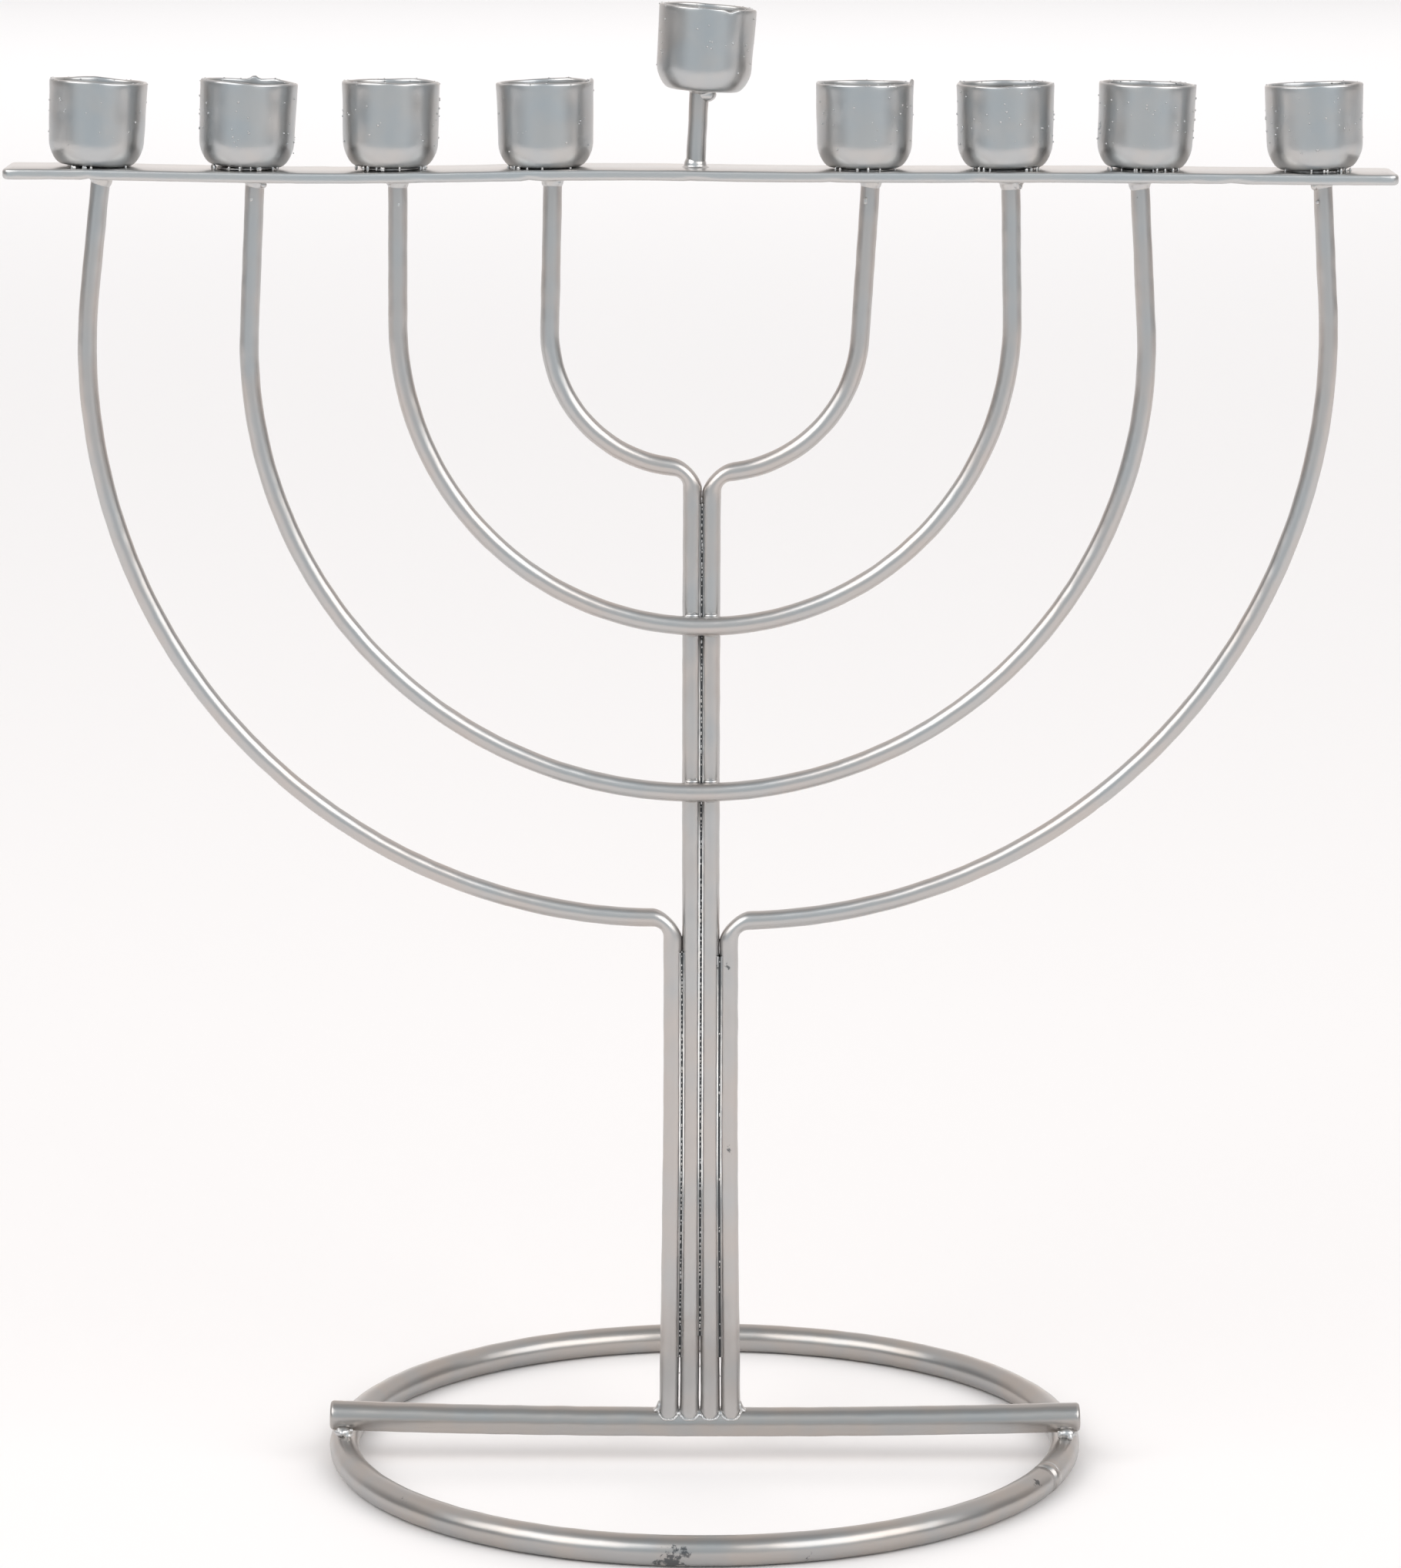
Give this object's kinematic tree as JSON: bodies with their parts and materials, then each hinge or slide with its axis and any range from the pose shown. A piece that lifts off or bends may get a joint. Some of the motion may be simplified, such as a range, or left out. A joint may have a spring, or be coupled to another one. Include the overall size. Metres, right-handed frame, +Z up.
{
  "type": "menorah",
  "caption": "Welded wire menorah: concentric curved arms under a flat strip of candle cups, a raised helper cup in the middle and a flat ring base.",
  "frame": {"origin": "on the floor, under the middle of the bounding box", "axes": "+X along the row of cups, to the right seen from the front; +Y towards the back; +Z up"},
  "size_m": [0.1812, 0.1032, 0.1973],
  "materials": {
    "wire_paint": "semi-gloss aluminium paint on round steel wire",
    "base_paint": "semi-gloss aluminium paint on round steel rod",
    "strip_paint": "semi-gloss aluminium paint on flat steel bar",
    "cup_paint": "semi-gloss aluminium paint on drawn steel sheet, slightly rough",
    "weld_paint": "aluminium paint over rough weld metal"
  },
  "bodies": {
    "root": {"arm_weld_1": "weld_paint", "arm_weld_2": "weld_paint", "arm_weld_3": "weld_paint", "arm_weld_4": "weld_paint", "arm_weld_5": "weld_paint", "arm_weld_6": "weld_paint", "arm_weld_7": "weld_paint", "arm_weld_8": "weld_paint", "bar_weld_left": "weld_paint", "bar_weld_right": "weld_paint", "base_crossbar": "base_paint", "base_ring": "base_paint", "candle_cup_1": "cup_paint", "candle_cup_2": "cup_paint", "candle_cup_3": "cup_paint", "candle_cup_4": "cup_paint", "candle_cup_5": "cup_paint", "candle_cup_6": "cup_paint", "candle_cup_7": "cup_paint", "candle_cup_8": "cup_paint", "cup_weld_1": "weld_paint", "cup_weld_2": "weld_paint", "cup_weld_3": "weld_paint", "cup_weld_4": "weld_paint", "cup_weld_5": "weld_paint", "cup_weld_6": "weld_paint", "cup_weld_7": "weld_paint", "cup_weld_8": "weld_paint", "inner_arm_left": "wire_paint", "inner_arm_right": "wire_paint", "narrow_arc": "wire_paint", "narrow_arc_weld": "weld_paint", "outer_arm_left": "wire_paint", "outer_arm_right": "wire_paint", "post_foot_weld": "weld_paint", "ring_butt_weld": "weld_paint", "shamash_cup": "cup_paint", "shamash_cup_weld": "weld_paint", "shamash_post": "wire_paint", "stem_foot_weld": "weld_paint", "top_strip": "strip_paint", "wide_arc": "wire_paint", "wide_arc_weld": "weld_paint"}
  },
  "joints": []
}
